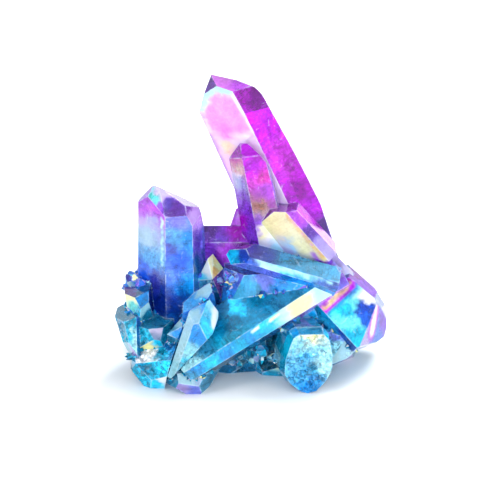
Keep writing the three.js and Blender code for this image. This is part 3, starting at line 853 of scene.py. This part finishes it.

# Broken faces: small cells of painted light and shade on the film, with a dark crack round each.
CELLS = 1700
CELL_SHIFT = 0.0012  # metres by which the noise moves the cells' borders
shifted = add("ShaderNodeVectorMath")
shifted.operation = "MULTIPLY_ADD"
shifted.inputs[1].default_value = (CELL_SHIFT, CELL_SHIFT, CELL_SHIFT)
links.new(noise("Color", Scale=900, Detail=2), shifted.inputs[0])
links.new(in_piece.outputs["Object"], shifted.inputs[2])
cells = add("ShaderNodeTexVoronoi", Scale=CELLS)
links.new(shifted.outputs["Vector"], cells.inputs["Vector"])
cracks = add("ShaderNodeTexVoronoi", Scale=CELLS)
cracks.feature = "DISTANCE_TO_EDGE"
links.new(shifted.outputs["Vector"], cracks.inputs["Vector"])
chip_light_shade_and_cracks = product(
    remap(cells.outputs["Color"], (0.1, 0.9), (0.6, 1.6)),
    remap(cracks.outputs["Distance"], (0, 0.07), (0.55, 1)),
)
chips_lit_and_cracked = blend(speckled, stored("broken"), tone=chip_light_shade_and_cracks)

# Growth lines across a crystal's sides.
lines = add("ShaderNodeTexNoise", Scale=2.2, Detail=4, Roughness=0.75)
lines.noise_dimensions = "1D"
links.new(stored("growth"), lines.inputs["W"])
line_tone = remap(lines.outputs["Fac"], (0.3, 0.7), (0.86, 1.12))
lined = blend(chips_lit_and_cracked, strength, tone=line_tone)

# Pale veils in the quartz, and a painted pale highlight along the edges, broken up in places.
veils = noise(Scale=420, Detail=7, Roughness=0.7, Distortion=2.2)
veiled = blend(lined, remap(veils, (0.6, 0.74), (0, 0.4)), tint=(0.8, 0.86, 1, 1))
highlight_breaks = remap(noise(Scale=700, Detail=3, Roughness=0.6), (0.4, 0.65), (0, 0.5))
edge_highlight_mask = product(highlight_breaks, remap(stored("edge_gap"), (0.02, 0.2), (1, 0)))
edge_highlighted = blend(veiled, edge_highlight_mask, tint=(0.78, 0.92, 1, 1))

# Smears in the gloss, fine pits, and the growth lines' ridges, in metres.
gloss = remap(noise(Scale=420, Detail=4, Roughness=0.6), (0.35, 0.75), (0.03, 0.16))
relief = add("ShaderNodeBump", Strength=0.12, Distance=0.0001)
links.new(noise(Scale=1500, Detail=3, Roughness=0.6), relief.inputs["Height"])
ridges = add("ShaderNodeBump", Strength=0.35, Distance=0.00005)
links.new(lines.outputs["Fac"], ridges.inputs["Height"])
links.new(relief.outputs["Normal"], ridges.inputs["Normal"])

# The paler the film, the more it mirrors: the metal's gloss is a coat over the quartz.
shader = add(
    "ShaderNodeBsdfPrincipled", Transmission_Weight=0.55, IOR=1.54, Coat_IOR=2.3, Coat_Roughness=0.05
)
links.new(edge_highlighted, shader.inputs["Base Color"])
links.new(gloss, shader.inputs["Roughness"])
links.new(ridges.outputs["Normal"], shader.inputs["Normal"])
links.new(remap(saturation, (0.2, 0.7), (1, 0)), shader.inputs["Coat Weight"])
absorb = add("ShaderNodeVolumeAbsorption", Density=30, Color=(0.6, 0.86, 0.95, 1))
out = add("ShaderNodeOutputMaterial")
links.new(shader.outputs["BSDF"], out.inputs["Surface"])
links.new(absorb.outputs["Volume"], out.inputs["Volume"])

cluster.data.materials.append(quartz)
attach(cluster, "root")
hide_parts("quartz_cluster")

# ---- the small points ------------------------------------------------------------------------
# Where the big crystals meet, a druse of tiny quartz points has grown in the corners. Each is
# a six-sided prism with a pointed end, rooted in the quartz and under the same film.

POINTS = 700
POINT_LONG = (0.6, 2.5)  # mm
POINT_POWER = 2.5  # most points are short, by this power of an even chance
POINT_WIDE = (0.2, 0.34)  # half width as a share of the length
POINT_SUNK = 0.4  # share of the length that stands in the quartz
POINT_LEAN = 0.45  # how much their directions scatter
POINT_SPAN = (0.05, 0.95)  # share of a corner's length that they stand on
DRUSE_BEND = -0.35  # radians: only inner corners at least this sharp hold points
DRUSE_EDGE = 0.6  # mm, the shortest such corner
DRUSE_HEIGHTS = (0.9, 19)  # mm above the base
BARE_SLOPE = (10, 12)  # mm: no point stands both right of this x and above this z
BASE_GAP = 0.1  # mm that every point keeps from the sawn base
druse = np.random.default_rng(21)

a, b = corners[edges[:, 0]], corners[edges[:, 1]]
edge_long = np.linalg.norm(b - a, axis=1)
middle = (a + b) / 2
inner_edge = (bend < DRUSE_BEND) & (edge_long > DRUSE_EDGE)
inner_edge &= (middle[:, 2] > DRUSE_HEIGHTS[0]) & (middle[:, 2] < DRUSE_HEIGHTS[1])
inner_edge &= (middle[:, 0] < BARE_SLOPE[0]) | (middle[:, 2] < BARE_SLOPE[1])
outward = np.zeros((len(edges), 3))
for (corner_ids, edge_ids), normal in zip(faces, normals):
    outward[edge_ids] += normal
picked = druse.choice(len(edges), POINTS, p=inner_edge * edge_long / (inner_edge * edge_long).sum())
seat = a[picked] + (b - a)[picked] * druse.uniform(*POINT_SPAN, (POINTS, 1))
way = outward[picked] + druse.normal(0, POINT_LEAN, (POINTS, 3))
way /= np.linalg.norm(way, axis=1, keepdims=True)
long = POINT_LONG[0] + np.ptp(POINT_LONG) * druse.uniform(0, 1, POINTS) ** POINT_POWER
wide = long * druse.uniform(*POINT_WIDE, POINTS)
side = np.cross(way, druse.normal(0, 1, (POINTS, 3)))
side /= np.linalg.norm(side, axis=1, keepdims=True)
other = np.cross(way, side)

# One point: a foot, a ring of six at the foot, an uneven ring under the end, and the tip a
# little off the axis, all as shares of its length and half width.
turn = np.arange(6) * math.pi / 3
ring_side = np.concatenate([[0], np.cos(turn), np.cos(turn), [0.12]])
ring_other = np.concatenate([[0], np.sin(turn), np.sin(turn), [0.1]])
ring_along = np.concatenate([np.zeros(7), [0.66, 0.6, 0.68, 0.58, 0.66, 0.62], [1]]) - POINT_SUNK
point_vertices = (
    seat[:, None]
    + (long[:, None] * ring_along)[..., None] * way[:, None]
    + (wide[:, None] * ring_side)[..., None] * side[:, None]
    + (wide[:, None] * ring_other)[..., None] * other[:, None]
)
above = point_vertices[..., 2].min(1) > BASE_GAP
seat, point_vertices = seat[above], point_vertices[above]
kept, corners_each = point_vertices.shape[:2]
i = np.arange(6)
j = (i + 1) % 6
one_point = np.concatenate([
    np.stack([0 * i, 1 + j, 1 + i], 1),
    np.stack([1 + i, 1 + j, 7 + i], 1),
    np.stack([1 + j, 7 + j, 7 + i], 1),
    np.stack([7 + i, 7 + j, 0 * i + 13], 1),
])
point_triangles = (one_point + corners_each * np.arange(kept)[:, None, None]).reshape(-1, 3)

# Each of a point's flats has its own colour near its height's, and some are painted pale glints.
flat_of = np.concatenate([i, i + 6, i + 6, i + 12])  # which flat each triangle is part of
FLATS = 18
TINT_SPREAD = 3.5  # mm of height that a flat's colour lies off its own
TINT_TONE = (0.45, 1.25)  # darkest and lightest share of that colour
GLINT_SHARE = 0.28  # share of the flats painted with a glint
heights = seat[:, 2:3] + druse.normal(0, TINT_SPREAD, (kept, FLATS))
tints = by_height(heights.ravel()).reshape(kept, FLATS, 3)
tints *= druse.uniform(*TINT_TONE, (kept, FLATS, 1))
painted_glints = druse.uniform(0, 1, (kept, FLATS)) < GLINT_SHARE
pale = np.array([linear(name) for name in ("ice", "white", "straw", "cyan", "pale lilac")])
tints[painted_glints] = pale[druse.integers(0, len(pale), painted_glints.sum())]
point_film = np.ones((kept, len(flat_of), 3, 4))
point_film[..., :3] = tints[:, flat_of][:, :, None]
no_lines = np.zeros(3 * len(point_triangles))
small_points = crystal_mesh(
    "small_points",
    point_vertices.reshape(-1, 3),
    point_triangles,
    point_film,
    no_lines,
    no_lines,
    np.full(kept * corners_each, NO_EDGE),
)
small_points.data.materials.append(quartz)
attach(small_points, "root")

# ---- the table, the light and the camera -------------------------------------------------------
# A plain pale table under soft light, and a long lens a little above the crystals.

scene = bpy.context.scene
scene.view_settings.view_transform = "Standard"
scene.view_settings.look = "Medium High Contrast"
bpy.ops.mesh.primitive_plane_add(size=3, location=(0, 0, 0))
table = bpy.context.object
table.name = "table"
table_paint = bpy.data.materials.new("table_paint")
table_paint.use_nodes = True
paint = table_paint.node_tree.nodes["Principled BSDF"]
paint.inputs["Base Color"].default_value = (0.7, 0.73, 0.76, 1)
paint.inputs["Roughness"].default_value = 0.6
table.data.materials.append(table_paint)

# The camera sees a white room. The crystals see one that is brighter near the table.
world = bpy.data.worlds.new("studio")
scene.world = world
world.use_nodes = True
sky, wires = world.node_tree, world.node_tree.links
sky.nodes.clear()
seen = add("ShaderNodeLightPath", sky)
coordinates = add("ShaderNodeTexCoord", sky)
split = add("ShaderNodeSeparateXYZ", sky)
wires.new(coordinates.outputs["Generated"], split.inputs["Vector"])
tone = add("ShaderNodeMapRange", sky, From_Min=-0.1, From_Max=1, To_Min=1.25, To_Max=0.8)
wires.new(split.outputs["Z"], tone.inputs["Value"])
choice = add("ShaderNodeMix", sky, B=1)
wires.new(seen.outputs["Is Camera Ray"], choice.inputs["Factor"])
wires.new(tone.outputs["Result"], choice.inputs["A"])
background = add("ShaderNodeBackground", sky, Color=(1, 1, 1, 1))
wires.new(choice.outputs["Result"], background.inputs["Strength"])
surround = add("ShaderNodeOutputWorld", sky)
wires.new(background.outputs["Background"], surround.inputs["Surface"])

LAMPS = [
    # name, place in metres, size in metres, watts, whether the crystals mirror it
    ("overhead", (0.28, 0.42, 0.6), 0.4, 7.5, False),
    ("front", (-0.12, -0.85, 0.06), 0.5, 11.0, False),
    ("side", (0.6, -0.5, 0.2), 0.5, 2.5, False),
    ("left_glint", (-0.4, -0.4, 0.6), 0.12, 0.8, True),
    ("right_glint", (0.4, 0.1, 0.6), 0.12, 0.8, True),
]
AIM = Vector((0, 0, 0.022))
for name, spot, size, watts, mirrored in LAMPS:
    lamp = bpy.data.lights.new(name, "AREA")
    lamp.size = size
    lamp.energy = watts
    holder = bpy.data.objects.new(name, lamp)
    holder.location = spot
    holder.rotation_mode = "QUATERNION"
    holder.rotation_quaternion = (AIM - Vector(spot)).to_track_quat("-Z", "Y")
    holder.visible_glossy = mirrored
    bpy.context.collection.objects.link(holder)

lens = bpy.data.cameras.new("long_lens")
lens.sensor_width = SENSOR
lens.lens = LENS
camera = bpy.data.objects.new("camera", lens)
camera.location = LOOK_AT + STAND_OFF * VIEW_BACK
camera.rotation_mode = "QUATERNION"
camera.rotation_quaternion = (-VIEW_BACK).to_track_quat("-Z", "Y")
bpy.context.collection.objects.link(camera)
scene.camera = camera
